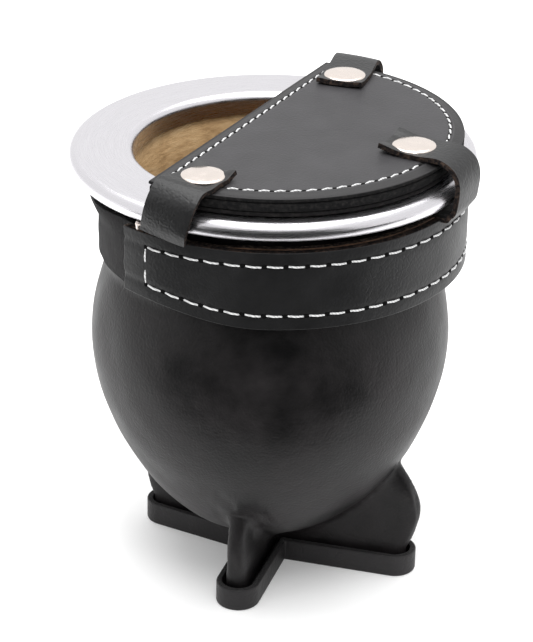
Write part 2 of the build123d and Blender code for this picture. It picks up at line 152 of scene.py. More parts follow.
def settle(piece):
    """Makes a piece's modifiers part of its mesh."""
    bpy.context.view_layer.update()
    graph = bpy.context.evaluated_depsgraph_get()
    final = bpy.data.meshes.new_from_object(piece.evaluated_get(graph), depsgraph=graph)
    piece.modifiers.clear()
    old = piece.data
    piece.data = final
    bpy.data.meshes.remove(old)
    final.name = piece.name
    return piece


def soften_edges(piece, width, segments=3, angle=35):
    """Rounds a piece's sharp edges and keeps its faces flat."""
    modifier(
        piece, "BEVEL", width=width, segments=segments, limit_method="ANGLE",
        angle_limit=math.radians(angle), harden_normals=True,
    )


def finish_piece(piece, body, slot, *nodes):
    """Rides a piece on its body and hides the plain nodes it stands for; its slot is not used."""
    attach(piece, body)
    if nodes:
        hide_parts(*nodes)


def smooth_step(value, low, high):
    """0 below low, 1 above high, and a soft rise between."""
    t = min(1.0, max(0.0, (value - low) / (high - low)))
    return t * t * (3 - 2 * t)


def spun(name, section, steps, *materials):
    """A ring: a closed section, as (radius, height) points, spun round the cup's axis."""
    bm = bmesh.new()
    corners = [bm.verts.new((radius, 0, z)) for radius, z in section]
    sides = [bm.edges.new(pair) for pair in zip(corners, corners[1:] + corners[:1])]
    bmesh.ops.spin(
        bm, geom=corners + sides, cent=(0, 0, 0), axis=(0, 0, 1), angle=math.tau, steps=steps,
        use_merge=True,
    )
    bmesh.ops.recalc_face_normals(bm, faces=bm.faces)
    return piece_from(bm, name, *materials)


def bent_sheet(name, start, end, low, high, radius, cell, *materials):
    """A sheet bent round the cup's axis. low, high and radius are functions of the azimuth, and
    radius also of the share of the sheet's height."""
    bm = bmesh.new()
    across = max(2, round((end - start) * radius(start, 0.5) / cell))
    up = max(2, round((high(start) - low(start)) / cell))
    bmesh.ops.create_grid(bm, x_segments=across, y_segments=up, size=0.5)
    for vert in bm.verts:
        azimuth = start + (end - start) * (vert.co.x + 0.5)
        share = vert.co.y + 0.5
        z = low(azimuth) + (high(azimuth) - low(azimuth)) * share
        vert.co = polar(radius(azimuth, share), azimuth, z)
    bmesh.ops.recalc_face_normals(bm, faces=bm.faces)
    outside = bm.faces[:][0]
    if outside.normal.dot(outside.calc_center_median() * Vector((1, 1, 0))) < 0:
        bmesh.ops.reverse_faces(bm, faces=bm.faces)
    return piece_from(bm, name, *materials)


def thicken(piece, thickness, edge_round, raw_edge=True):
    """Gives a leather sheet its thickness, with its cut edges in the piece's second material."""
    modifier(
        piece, "SOLIDIFY", thickness=thickness, offset=-1, use_even_offset=True,
        material_offset_rim=1 if raw_edge else 0,
    )
    soften_edges(piece, edge_round, segments=2, angle=50)
    return settle(piece)


# ---------------------------------------------------------------- material helpers
DYE_PATCH = 14 * MM  # the size of a patch in an uneven dye
HAIR = 0.12 * MM  # the width of one hair-fine line in brushed steel


def linear(colour, alpha=1.0):
    """An sRGB hex colour as the linear values that a shader takes."""
    parts = [int(colour[i : i + 2], 16) / 255 for i in (1, 3, 5)]
    return [p / 12.92 if p <= 0.04045 else ((p + 0.055) / 1.055) ** 2.4 for p in parts] + [alpha]


def add(tree, kind, inputs=None, stops=None, **settings):
    """Adds a shader node: its settings, its inputs as values or as sockets to link, and a ramp's stops."""
    made = tree.nodes.new("ShaderNode" + kind)
    for key, value in settings.items():
        setattr(made, key, value)
    for key, value in (inputs or {}).items():
        if isinstance(value, bpy.types.NodeSocket):
            tree.links.new(value, made.inputs[key])
        else:
            made.inputs[key].default_value = linear(value) if isinstance(value, str) else value
    for place, (position, colour) in enumerate(stops or []):
        ramp = made.color_ramp.elements
        stop = ramp[place] if place < 2 else ramp.new(position)
        stop.position = position
        stop.color = linear(colour)
    return made


def new_material(name):
    """An empty material, with its tree, its shader and its Object coordinates."""
    material = bpy.data.materials.new(name)
    material.use_nodes = True
    tree = material.node_tree
    shader = tree.nodes["Principled BSDF"]
    place = add(tree, "TexCoord").outputs["Object"]
    return material, tree, shader, place


def leather(name, dark, light, roughness, grain, grain_depth, crease, crease_depth, specular=0.35):
    """Chrome-tanned cowhide, dyed through: a pebbled grain of small pores, a net of fine creases and
    an uneven dye. grain and crease are the sizes of a pebble and of a patch between creases."""
    material, tree, shader, place = new_material(name)
    drift = add(tree, "TexNoise", {"Vector": place, "Scale": 0.35 / crease, "Detail": 3.0})
    bent = add(tree, "VectorMath", {0: drift.outputs["Color"], "Scale": 0.5 * crease}, operation="SCALE")
    bent = add(tree, "VectorMath", {0: place, 1: bent.outputs[0]}, operation="ADD").outputs[0]
    pebbles = add(tree, "TexVoronoi", {"Vector": bent, "Scale": 1 / grain}, feature="SMOOTH_F1")
    creases = add(tree, "TexVoronoi", {"Vector": bent, "Scale": 1 / crease}, feature="DISTANCE_TO_EDGE")
    crease_line = add(
        tree, "ValToRGB", {"Fac": creases.outputs["Distance"]}, [(0.0, "#000000"), (0.09, "#ffffff")]
    )
    patches = add(
        tree, "TexNoise", {"Vector": place, "Scale": 1 / DYE_PATCH, "Detail": 6.0, "Roughness": 0.62}
    )
    where = add(tree, "MapRange", {"Value": patches.outputs[0], "From Min": 0.42, "From Max": 0.62})
    dye = add(tree, "ValToRGB", {"Fac": patches.outputs[0]}, [(0.34, dark), (0.68, light)])
    dull = add(
        tree, "MapRange",
        {"Value": patches.outputs[0], "From Min": 0.3, "From Max": 0.7,
         "To Min": roughness - 0.07, "To Max": roughness + 0.08},
    )
    pebble_bump = add(
        tree, "Bump", {"Height": pebbles.outputs["Distance"], "Strength": 1.0, "Distance": -grain_depth}
    )
    crease_height = add(
        tree, "Math", {0: crease_line.outputs["Color"], 1: where.outputs[0]}, operation="MULTIPLY"
    )
    crease_bump = add(
        tree, "Bump",
        {"Height": crease_height.outputs[0], "Strength": 1.0, "Distance": crease_depth,
         "Normal": pebble_bump.outputs["Normal"]},
    )
    tree.links.new(dye.outputs["Color"], shader.inputs["Base Color"])
    tree.links.new(dull.outputs[0], shader.inputs["Roughness"])
    tree.links.new(crease_bump.outputs["Normal"], shader.inputs["Normal"])
    shader.inputs["IOR"].default_value = 1.5
    shader.inputs["Specular IOR Level"].default_value = specular
    return material


def cut_edge(name, dark, light, roughness=0.85):
    """The cut edge of dyed leather: short fibres, with the paler core worn through in places."""
    material, tree, shader, place = new_material(name)
    fibres = add(
        tree, "TexNoise", {"Vector": place, "Scale": 1 / (0.9 * MM), "Detail": 5.0, "Roughness": 0.7}
    )
    colour = add(tree, "ValToRGB", {"Fac": fibres.outputs[0]}, [(0.46, dark), (0.74, light)])
    bump = add(tree, "Bump", {"Height": fibres.outputs[0], "Distance": 0.25 * MM})
    tree.links.new(colour.outputs["Color"], shader.inputs["Base Color"])
    tree.links.new(bump.outputs["Normal"], shader.inputs["Normal"])
    shader.inputs["Roughness"].default_value = roughness
    shader.inputs["Specular IOR Level"].default_value = 0.2
    return material


def suede(name, dark, light):
    """Split leather, flesh side out: a short nap with no shine, lighter where it is rubbed."""
    material, tree, shader, place = new_material(name)
    nap = add(
        tree, "TexNoise", {"Vector": place, "Scale": 1 / (0.7 * MM), "Detail": 6.0, "Roughness": 0.75}
    )
    rubs = add(tree, "TexNoise", {"Vector": place, "Scale": 1 / (7 * MM), "Detail": 4.0})
    both = add(tree, "Math", {0: nap.outputs[0], 1: rubs.outputs[0]}, operation="MULTIPLY")
    colour = add(tree, "ValToRGB", {"Fac": both.outputs[0]}, [(0.14, dark), (0.42, light)])
    bump = add(tree, "Bump", {"Height": nap.outputs[0], "Distance": 0.3 * MM})
    tree.links.new(colour.outputs["Color"], shader.inputs["Base Color"])
    tree.links.new(bump.outputs["Normal"], shader.inputs["Normal"])
    shader.inputs["Roughness"].default_value = 0.95
    shader.inputs["Specular IOR Level"].default_value = 0.15
    shader.inputs["Sheen Weight"].default_value = 0.12
    return material


def spun_steel():
    """Stainless steel spun and brushed in the lathe: hair-fine rings that run round the rim."""
    material, tree, shader, place = new_material("spun_stainless_steel")
    split = add(tree, "SeparateXYZ", {0: place})
    radius = add(tree, "VectorMath", {0: place, 1: (1, 1, 0)}, operation="MULTIPLY")
    radius = add(tree, "VectorMath", {0: radius.outputs[0]}, operation="LENGTH").outputs["Value"]
    turn = add(tree, "Math", {0: split.outputs["Y"], 1: split.outputs["X"]}, operation="ARCTAN2")
    across = add(tree, "Math", {0: radius, 1: 1 / HAIR}, operation="MULTIPLY")
    down = add(tree, "Math", {0: split.outputs["Z"], 1: 1 / HAIR}, operation="MULTIPLY")
    # a line runs some tens of degrees round
    along = add(tree, "Math", {0: turn.outputs[0], 1: 6.0}, operation="MULTIPLY")
    lathe = add(tree, "CombineXYZ", {0: across.outputs[0], 1: along.outputs[0], 2: down.outputs[0]})
    hairs = add(
        tree, "TexNoise", {"Vector": lathe.outputs[0], "Scale": 1.0, "Detail": 3.0, "Roughness": 0.6}
    )
    dull = add(
        tree, "MapRange",
        {"Value": hairs.outputs[0], "From Min": 0.3, "From Max": 0.7, "To Min": 0.2, "To Max": 0.36},
    )
    bump = add(tree, "Bump", {"Height": hairs.outputs[0], "Distance": 0.012 * MM})
    tree.links.new(dull.outputs[0], shader.inputs["Roughness"])
    tree.links.new(bump.outputs["Normal"], shader.inputs["Normal"])
    shader.inputs["Base Color"].default_value = linear("#dedce0")
    shader.inputs["Metallic"].default_value = 1.0
    return material


def nickel():
    """Nickel-plated brass, polished: warm white, with a few soft handling marks."""
    material, tree, shader, place = new_material("nickel_plate")
    marks = add(tree, "TexNoise", {"Vector": place, "Scale": 1 / (2.5 * MM), "Detail": 5.0})
    dull = add(
        tree, "MapRange",
        {"Value": marks.outputs[0], "From Min": 0.35, "From Max": 0.7, "To Min": 0.16, "To Max": 0.32},
    )
    bump = add(tree, "Bump", {"Height": marks.outputs[0], "Distance": 0.03 * MM})
    tree.links.new(dull.outputs[0], shader.inputs["Roughness"])
    tree.links.new(bump.outputs["Normal"], shader.inputs["Normal"])
    shader.inputs["Base Color"].default_value = linear("#efe4dc")
    shader.inputs["Metallic"].default_value = 1.0
    return material


def waxed_thread():
    """Waxed polyester thread: twisted plies, drawn coarse enough to show."""
    material, tree, shader, place = new_material("waxed_white_thread")
    plies = add(
        tree, "TexWave", {"Vector": place, "Scale": 1 / (1.6 * MM), "Distortion": 1.5, "Detail": 1.0},
        bands_direction="DIAGONAL",
    )
    colour = add(tree, "ValToRGB", {"Fac": plies.outputs["Fac"]}, [(0.0, "#b4b4b5"), (0.6, "#e0e0e0")])
    bump = add(tree, "Bump", {"Height": plies.outputs["Fac"], "Distance": 0.06 * MM})
    tree.links.new(colour.outputs["Color"], shader.inputs["Base Color"])
    tree.links.new(bump.outputs["Normal"], shader.inputs["Normal"])
    shader.inputs["Roughness"].default_value = 0.55
    shader.inputs["Specular IOR Level"].default_value = 0.4
    return material


def gourd_wall():
    """The dried wall of a calabash, scraped inside: tan, woody fibres in rings, browner where the
    drink has stained it."""
    material, tree, shader, place = new_material("scraped_calabash")
    split = add(tree, "SeparateXYZ", {0: place})
    turn = add(tree, "Math", {0: split.outputs["Y"], 1: split.outputs["X"]}, operation="ARCTAN2")
    along = add(tree, "Math", {0: turn.outputs[0], 1: 9.0}, operation="MULTIPLY")
    up = add(tree, "Math", {0: split.outputs["Z"], 1: 1 / (1.1 * MM)}, operation="MULTIPLY")
    rings = add(tree, "CombineXYZ", {0: along.outputs[0], 2: up.outputs[0]})
    streaks = add(
        tree, "TexNoise", {"Vector": rings.outputs[0], "Scale": 1.0, "Detail": 6.0, "Roughness": 0.65}
    )
    stains = add(tree, "TexNoise", {"Vector": place, "Scale": 1 / (9 * MM), "Detail": 5.0})
    both = add(tree, "Mix", {0: 0.45, 2: streaks.outputs[0], 3: stains.outputs[0]})
    colour = add(
        tree, "ValToRGB", {"Fac": both.outputs[0]}, [(0.3, "#94734b"), (0.5, "#c4a276"), (0.72, "#dcc096")]
    )
    bump = add(tree, "Bump", {"Height": streaks.outputs[0], "Distance": 0.35 * MM})
    tree.links.new(colour.outputs["Color"], shader.inputs["Base Color"])
    tree.links.new(bump.outputs["Normal"], shader.inputs["Normal"])
    shader.inputs["Roughness"].default_value = 0.72
    shader.inputs["Specular IOR Level"].default_value = 0.3
    return material


def woven_hooks():
    """Woven nylon fastening tape: rows of tiny stiff hooks on a black ground."""
    material, tree, shader, place = new_material("nylon_hook_tape")
    hooks = add(tree, "TexVoronoi", {"Vector": place, "Scale": 1 / (1.1 * MM), "Randomness": 0.35})
    colour = add(
        tree, "ValToRGB", {"Fac": hooks.outputs["Distance"]}, [(0.15, "#2c2c2e"), (0.6, "#0b0b0c")]
    )
    bump = add(tree, "Bump", {"Height": hooks.outputs["Distance"], "Distance": -0.5 * MM})
    tree.links.new(colour.outputs["Color"], shader.inputs["Base Color"])
    tree.links.new(bump.outputs["Normal"], shader.inputs["Normal"])
    shader.inputs["Roughness"].default_value = 0.6
    return material


WRAP_LEATHER = leather(
    "wrap_leather", "#0b0a0b", "#211e1f",
    roughness=0.45, grain=0.55 * MM, grain_depth=0.06 * MM, crease=4.5 * MM, crease_depth=0.03 * MM,
    specular=0.28,
)
BAND_LEATHER = leather(
    "band_leather", "#151516", "#1e1e1f",
    roughness=0.44, grain=0.6 * MM, grain_depth=0.06 * MM, crease=2.2 * MM, crease_depth=0.03 * MM,
)
STRAP_LEATHER = leather(
    "strap_leather", "#131314", "#1d1d1e",
    roughness=0.42, grain=0.7 * MM, grain_depth=0.09 * MM, crease=2.6 * MM, crease_depth=0.03 * MM,
    specular=0.45,
)
# painted light: the cover's black leather is coloured lighter than the other leathers, for the light that
# falls on its flat top from above
COVER_LEATHER_PAINTED_LIGHTER = leather(
    "cover_leather", "#2c2b2d", "#3c3b3d",
    roughness=0.5, grain=0.5 * MM, grain_depth=0.06 * MM, crease=3.0 * MM, crease_depth=0.02 * MM,
)
DRESSED_EDGE = leather(
    "cover_dressed_edge", "#1d1c1d", "#2a292a",
    roughness=0.5, grain=0.5 * MM, grain_depth=0.05 * MM, crease=3.0 * MM, crease_depth=0.02 * MM,
)
FOOT_LEATHER = leather(
    "foot_leather", "#161416", "#232122",
    roughness=0.5, grain=0.7 * MM, grain_depth=0.07 * MM, crease=2.5 * MM, crease_depth=0.05 * MM,
)
BLACK_EDGE = cut_edge("black_cut_edge", "#121112", "#2b2827")
BROWN_EDGE = cut_edge("brown_cut_edge", "#131011", "#54443a")
LINING_EDGE = cut_edge("lining_cut_edge", "#1b1614", "#6a5c52")
END_EDGE = cut_edge("band_end_edge", "#3c332d", "#a5968a")
LAYER_EDGE = cut_edge("pressed_layer_edge", "#0e0e0f", "#2a2827")
BLACK_SUEDE = suede("black_suede", "#0d0d0e", "#242223")
BROWN_SUEDE = suede("brown_suede", "#3c2c22", "#6e5442")
STEEL = spun_steel()
NICKEL = nickel()
THREAD = waxed_thread()
CALABASH = gourd_wall()
HOOK_TAPE = woven_hooks()
# painted shade: near-black and fully rough, for the shade inside the stitch holes
HOLE_PAINTED_SHADE = cut_edge("stitch_hole_painted_shade", "#050505", "#0a0a0a", 1.0)


# ---------------------------------------------------------------- the cup
WRAP_CELL = 0.8 * MM  # the size of a face on the wrap
CORNER_LOW, CORNER_HIGH = 7 * MM, 40 * MM  # the wrap is smoothed into its folds between these heights
CORNER_PASSES = 16
FOLD_HALF = 2.2 * MM  # the faces of a fold, which stay crisp, are this far from its middle
SHOULDER_Z, NECK_Z = 73 * MM, 79 * MM
BOWL_Z = 57 * MM  # the height of the widest place
BOWL_TAPER = 1.75  # 2 makes the lower half an ellipse, and less makes it taper
GOURD_WALL = 4.1 * MM
MOUTH_IN_R = 33.5 * MM
NECK_OUT_R = 37.6 * MM
SKIRT_IN_R = 32.75 * MM
AXIS_GAP = 0.01 * MM  # the gourd's section stops this far from the axis


def arm_frame(point, turn):
    """How far a point lies along an arm of the foot, and how far to the side of it."""
    offset = point - FOOT
    along = offset.x * math.cos(turn) + offset.y * math.sin(turn)
    across = offset.y * math.cos(turn) - offset.x * math.sin(turn)
    return along, across


def near_fold(point):
    """How near a point on the wrap is to a fold of leather: 0 to 1, with how far along and beside that
    arm of the foot it is."""
    best = (0.0, 0.0, 0.0)
    for turn, length in ARMS:
        along, across = arm_frame(point, turn)
        if along > 0:
            weight = 1 - smooth_step(abs(across), 3.5 * MM, 9 * MM)
            if weight > best[0]:
                best = (weight, along, across)
    return best


def make_wrap():
    """The wet-moulded leather over the gourd, drawn out below into four folds that stand in the foot."""
    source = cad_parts["leather_wrap"]
    bm = bmesh.new()
    bm.from_mesh(source.data)
    bmesh.ops.remove_doubles(bm, verts=bm.verts, dist=0.001 * MM)
    wrap = piece_from(bm, "wrap", WRAP_LEATHER)
    modifier(wrap, "REMESH", mode="VOXEL", voxel_size=WRAP_CELL)
    settle(wrap)
    bm = bmesh.new()
    bm.from_mesh(wrap.data)
    corners = []
    for vert in bm.verts:
        weight, _, across = near_fold(vert.co)
        in_folds = CORNER_LOW < vert.co.z < CORNER_HIGH
        if in_folds and weight > 0.05 and abs(across) > FOLD_HALF:
            corners.append(vert)
    for _ in range(CORNER_PASSES):
        bmesh.ops.smooth_vert(
            bm, verts=corners, factor=0.5, use_axis_x=True, use_axis_y=True, use_axis_z=True
        )
    bm.normal_update()
    moves = []
    for vert in bm.verts:
        point = vert.co
        swell = noise.noise(point / (22 * MM)) * 0.45 + noise.noise(point / (7 * MM)) * 0.10
        weight, along, across = near_fold(point)
        gather = 0.0
        if weight > 0 and point.z < 36 * MM:
            # the leather puckers where it is gathered into a fold
            rising = smooth_step(point.z, 6 * MM, 14 * MM)
            fading = 1 - smooth_step(point.z, 26 * MM, 36 * MM)
            pleats = Vector((across / (1.6 * MM), along / (6 * MM), point.z / (7 * MM)))
            gather = 0.5 * weight * rising * fading * noise.noise(pleats)
        if point.z < BAND_LOW + 4 * MM:
            moves.append((vert, vert.normal * (swell + gather) * MM))
    for vert, move in moves:
        vert.co += move
    wrap.data.clear_geometry()
    bm.to_mesh(wrap.data)
    bm.free()
    wrap.data.shade_smooth()
    finish_piece(wrap, "cup", "wrap_leather", "leather_wrap")


def make_rim():
    """The metal rim: a broad flat flange with a rolled edge outside and a skirt down into the mouth."""
    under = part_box("gourd")[1].z  # the flange lies on the gourd's top
    thick = 0.6 * MM
    roll = 2.4 * MM
    mouth_round = 2.0 * MM
    lip = RIM_TOP - 4.0 * MM
    skirt_out_r = SKIRT_IN_R + thick
    section = [(skirt_out_r, SKIRT_LOW), (SKIRT_IN_R, SKIRT_LOW), (SKIRT_IN_R, RIM_TOP - mouth_round)]
    section += [
        (SKIRT_IN_R + mouth_round * (1 - math.cos(t)), RIM_TOP - mouth_round * (1 - math.sin(t)))
        for t in (math.radians(a) for a in range(9, 91, 9))
    ]
    section += [(SKIRT_IN_R + 4 * MM, RIM_TOP), (RIM_R - roll - 4 * MM, RIM_TOP)]
    section += [
        (RIM_R - roll + roll * math.sin(t), RIM_TOP - roll + roll * math.cos(t))
        for t in (math.radians(a) for a in range(0, 100, 10))
    ]
    # the edge is turned under, with a hollow between it and the neck
    section += [(RIM_R - 0.25 * MM, lip + 0.8 * MM), (RIM_R - 0.7 * MM, lip), (RIM_R - 1.1 * MM, lip)]
    section += [(RIM_R - 1.4 * MM, lip + 0.5 * MM), (RIM_R - 1.4 * MM, under), (skirt_out_r, under)]
    rim = spun("spun_rim", section, 256, STEEL)
    modifier(rim, "WEIGHTED_NORMAL", keep_sharp=True)
    settle(rim)
    finish_piece(rim, "cup", "rim_steel", "rim")


def make_gourd():
    """The gourd's wall, scraped thin inside, with its uneven inner face under the rim's skirt."""
    low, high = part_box("gourd")
    hollow_r = high.x - GOURD_WALL
    hollow_drop = BOWL_Z - (low.z + GOURD_WALL)
    section = []
    for step in range(0, 19):
        angle = math.radians(90 * step / 18)
        section.append((hollow_r * math.sin(angle) + AXIS_GAP, BOWL_Z - hollow_drop * math.cos(angle)))
    section += [(MOUTH_IN_R + 2 * MM, SHOULDER_Z), (MOUTH_IN_R + 0.3 * MM, NECK_Z)]
    section += [(MOUTH_IN_R, NECK_Z + 7 * MM), (MOUTH_IN_R, high.z)]
    section += [(NECK_OUT_R + 3.3 * MM, high.z), (NECK_OUT_R, high.z - 8 * MM), (NECK_OUT_R, NECK_Z)]
    section.append((NECK_OUT_R + 2 * MM, SHOULDER_Z))
    for step in range(0, 25):
        # the outside tapers more than the scraped hollow
        depth = (step / 24) ** 0.8
        tapered = high.x * (1 - (0.985 * depth) ** BOWL_TAPER) ** (1 / BOWL_TAPER)
        section.append((tapered, BOWL_Z - (BOWL_Z - low.z) * depth))
    section.append((AXIS_GAP, low.z))
    shell = spun("gourd_shell", section, 160, CALABASH)
    for vert in shell.data.vertices:
        point = vert.co
        radius = math.hypot(point.x, point.y)
        if 2 * MM < radius < MOUTH_IN_R + 3 * MM and point.z < SKIRT_LOW - 1 * MM:
            push = 0.5 * MM * noise.noise(point / (6 * MM))
            vert.co += Vector((point.x, point.y, 0)).normalized() * push
    finish_piece(shell, "cup", "gourd_wood", "gourd")


def cross_outline(bm, half, low):
    """A flat face in the shape of the foot's cross, square at the ends of its arms."""
    order = sorted(ARMS)
    corners = []
    for place, (turn, length) in enumerate(order):
        before = order[place - 1][0]
        gap = (turn - before) % math.tau
        reach = half / math.sin(gap / 2)
        corners.append(FOOT + polar(reach, before + gap / 2, low))
        for side in (-1, 1):
            corners.append(FOOT + polar(length + half, turn, low) + polar(side * half, turn + math.pi / 2))
    return bm.faces.new([bm.verts.new(corner) for corner in corners])


def standing_edges(bm):
    """The upright edges at the ends of the arms of a cross."""
    found = []
    for edge in bm.edges:
        a, b = (vert.co for vert in edge.verts)
        if abs(a.x - b.x) < 1e-6 and abs(a.y - b.y) < 1e-6 and (a - FOOT).xy.length > 20 * MM:
            found.append(edge)
    return found


def cross_block(half, low, high):
    """A solid cross with round-ended arms."""
    bm = bmesh.new()
    face = cross_outline(bm, half, low)
    grown = bmesh.ops.extrude_face_region(bm, geom=[face])["geom"]
    top = only(bmesh.types.BMVert, grown)
    bmesh.ops.translate(bm, verts=top, vec=(0, 0, high - low))
    bmesh.ops.recalc_face_normals(bm, faces=bm.faces)
    # nearly the whole half width, which leaves a sliver of the flat end
    bmesh.ops.bevel(
        bm, geom=standing_edges(bm), offset=half * 0.985, segments=14, profile=0.5, affect="EDGES",
        material=-1,
    )
    return bm


def make_foot():
    """The foot: a strip of leather bent on edge round the cross, and the sole inside it."""
    strip = piece_from(cross_block(ARM_HALF, 0.0, FOOT_STRIP_TOP), "foot_edging", FOOT_LEATHER)
    core = piece_from(cross_block(ARM_HALF - FOOT_STRIP_T, -1 * MM, FOOT_STRIP_TOP + 1 * MM), "foot_cutter")
    modifier(strip, "BOOLEAN", operation="DIFFERENCE", object=core, solver="EXACT")
    settle(strip)
    bpy.data.objects.remove(core)
    soften_edges(strip, 0.45 * MM, segments=3, angle=40)
    settle(strip)
    strip.data.materials.append(BLACK_SUEDE)
    for face in strip.data.polygons:
        if face.normal.z > 0.85:
            face.material_index = 1
    strip.data.shade_smooth()
    finish_piece(strip, "cup", "foot_leather", "foot_strip")

    sole_half = ARM_HALF - FOOT_STRIP_T - 0.05 * MM
    sole_block = cross_block(sole_half, 0.0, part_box("foot_sole")[1].z)
    sole = piece_from(sole_block, "foot_sole_leather", BLACK_SUEDE)
    sole.data.shade_flat()
    finish_piece(sole, "cup", "foot_leather", "foot_sole")


# ---------------------------------------------------------------- the harness round the neck
def band_low_at(azimuth):
    """The band's lower edge: level round the cup, and drawn up towards the cut end."""
    end = smooth_step(-azimuth, math.radians(92), -BAND_CUT)
    return BAND_LOW + 3.1 * MM * end


def band_dents(azimuth, z, rows):
    """How deep the band's face is pulled in beside its stitching."""
    depth = 0.0
    for row_z in rows:
        depth += 0.22 * MM * math.exp(-(((z - row_z(azimuth)) / (0.9 * MM)) ** 2))
    return depth


def high_row(azimuth):
    """The height of the upper row of stitches, which is level."""
    return BAND_TOP - STITCH_IN


def low_row(azimuth):
    """The height of the lower row of stitches."""
    return band_low_at(azimuth) + STITCH_IN


def band_face(azimuth, share):
    """The radius of the band's outer face: a soft sheet, a little uneven, dented along its stitches."""
    z = band_low_at(azimuth) + (BAND_TOP - band_low_at(azimuth)) * share
    swell = 0.12 * MM * noise.noise(polar(1.0, azimuth, z) * SWELLS)
    return BAND_R - band_dents(azimuth, z, (high_row, low_row)) + swell - 0.12 * MM


def peel_blend(piece):
    """Bakes the placing of a piece of the band into its mesh."""
    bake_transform(piece)


def make_band():
    """The stitched band: its outer leather in two lengths, joined at the back, and the lining behind."""
    front = bent_sheet(
        "band_front", BAND_CUT, BAND_JOIN, band_low_at, lambda a: BAND_TOP, band_face, 0.5 * MM,
        BAND_LEATHER, BROWN_EDGE,
    )
    for vert in front.data.vertices:
        # the cut end is ragged
        point = vert.co
        azimuth = math.atan2(point.y, point.x)
        past = smooth_step(-azimuth, math.radians(134), math.radians(136))
        if past > 0:
            coarse = noise.noise(Vector((0, 0, point.z / (1.7 * MM))))
            fine = noise.noise(Vector((3, 0, point.z / (0.6 * MM))))
            turn = -(0.5 * coarse + 0.35 * fine) * MM * past / BAND_R
            vert.co = Matrix.Rotation(turn, 3, "Z") @ point
    thicken(front, BAND_T, 0.3 * MM)
    front.data.materials.append(END_EDGE)
    for face in front.data.polygons:
        if face.material_index == 1 and math.atan2(face.center.y, face.center.x) < math.radians(-135):
            face.material_index = 2
    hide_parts("band_outer", "flap_outer")
    peel_blend(front)

    back = bent_sheet(
        "band_back", BAND_JOIN, BAND_END, band_low_at, lambda a: BAND_TOP, band_face, 0.5 * MM,
        BAND_LEATHER, BROWN_EDGE,
    )
    thicken(back, BAND_T, 0.3 * MM)
    finish_piece(back, "harness", "band_leather")

    lining_r = BAND_R - BAND_T

    def lining_face(azimuth, share):
        return lining_r - 0.02 * MM

    def lining_low(azimuth):
        # the lining is cut narrower on the end that peels off
        away = smooth_step(-azimuth, math.radians(97), math.radians(106))
        drop = LINING_LOW + (band_low_at(azimuth) + 0.6 * MM - LINING_LOW) * away
        return drop + 0.12 * MM * noise.noise(Vector((azimuth * 30, 0, 0)))

    def lining_high(azimuth):
        away = smooth_step(-azimuth, math.radians(97), math.radians(106))
        return LINING_TOP - 0.5 * MM * away + 0.12 * MM * noise.noise(Vector((azimuth * 30, 5, 0)))

    lining_cut = BAND_CUT + math.radians(0.8)
    lining = bent_sheet(
        "band_lining_front", lining_cut, BAND_JOIN, lining_low, lining_high, lining_face, 0.9 * MM,
        BROWN_SUEDE, LINING_EDGE,
    )
    thicken(lining, LINING_T - 0.05 * MM, 0.25 * MM)
    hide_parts("band_lining", "flap_lining")
    peel_blend(lining)
    lining_back = bent_sheet(
        "band_lining_back", BAND_JOIN, BAND_END, lining_low, lining_high, lining_face, 0.9 * MM,
        BROWN_SUEDE, LINING_EDGE,
    )
    thicken(lining_back, LINING_T - 0.05 * MM, 0.25 * MM)
    finish_piece(lining_back, "harness", "lining_leather")


def lay_stitch(bm, middle_point, along, outward, length, radius, dive):
    """One stitch: a capsule of thread whose ends dive into their holes."""
    side = outward.cross(along).normalized()
    turned = Matrix((along, side, outward)).transposed().to_4x4()
    turned.translation = middle_point
    made = bmesh.ops.create_uvsphere(bm, u_segments=8, v_segments=6, radius=radius)
    straight = length / 2 - radius
    for vert in made["verts"]:
        x, y, z = vert.co.z, vert.co.x, vert.co.y
        x += math.copysign(straight, x) if abs(x) > 1e-9 else 0.0
        z -= dive * (x / (length / 2)) ** 4
        vert.co = turned @ Vector((x, y, z))


def stitch_hole_painted_shade(bm, point, along, outward, radius):
    """The hole that a punch makes between two stitches, as a flat dark oval set in the leather: painted
    shade in place of the hole's depth.
    """
    side = outward.cross(along).normalized()
    turned = Matrix((along, side, outward)).transposed().to_4x4()
    turned.translation = point
    made = bmesh.ops.create_uvsphere(bm, u_segments=10, v_segments=6, radius=radius)
    for vert in made["verts"]:
        x, y, z = vert.co
        vert.co = turned @ Vector((x * 1.2, y * 0.9, z * 0.25))


def band_row(bm, holes, azimuths, row, slant):
    """One row of stitches along the band."""
    for n, azimuth in enumerate(azimuths):
        face_r = band_face(azimuth, 0.5)
        wander = 0.12 * MM * noise.noise(Vector((n * 1.7, row(azimuth) * 900, 0)))
        point = polar(face_r + THREAD_R * 0.45, azimuth, row(azimuth) + wander)
        outward = polar(1, azimuth)
        slope = (row(azimuth + 0.01) - row(azimuth - 0.01)) / (0.02 * BAND_R)
        along = (polar(1, azimuth + math.pi / 2) + Vector((0, 0, slope + slant))).normalized()
        lay_stitch(bm, point, along, outward, STITCH_LENGTH, THREAD_R, 0.4 * MM)
        hole_az = azimuth + STITCH_PITCH / 2 / BAND_R
        hole_r = band_face(hole_az, 0.5) - 0.18 * MM
        stitch_hole_painted_shade(holes, polar(hole_r, hole_az, row(hole_az)), along, outward, 0.62 * MM)


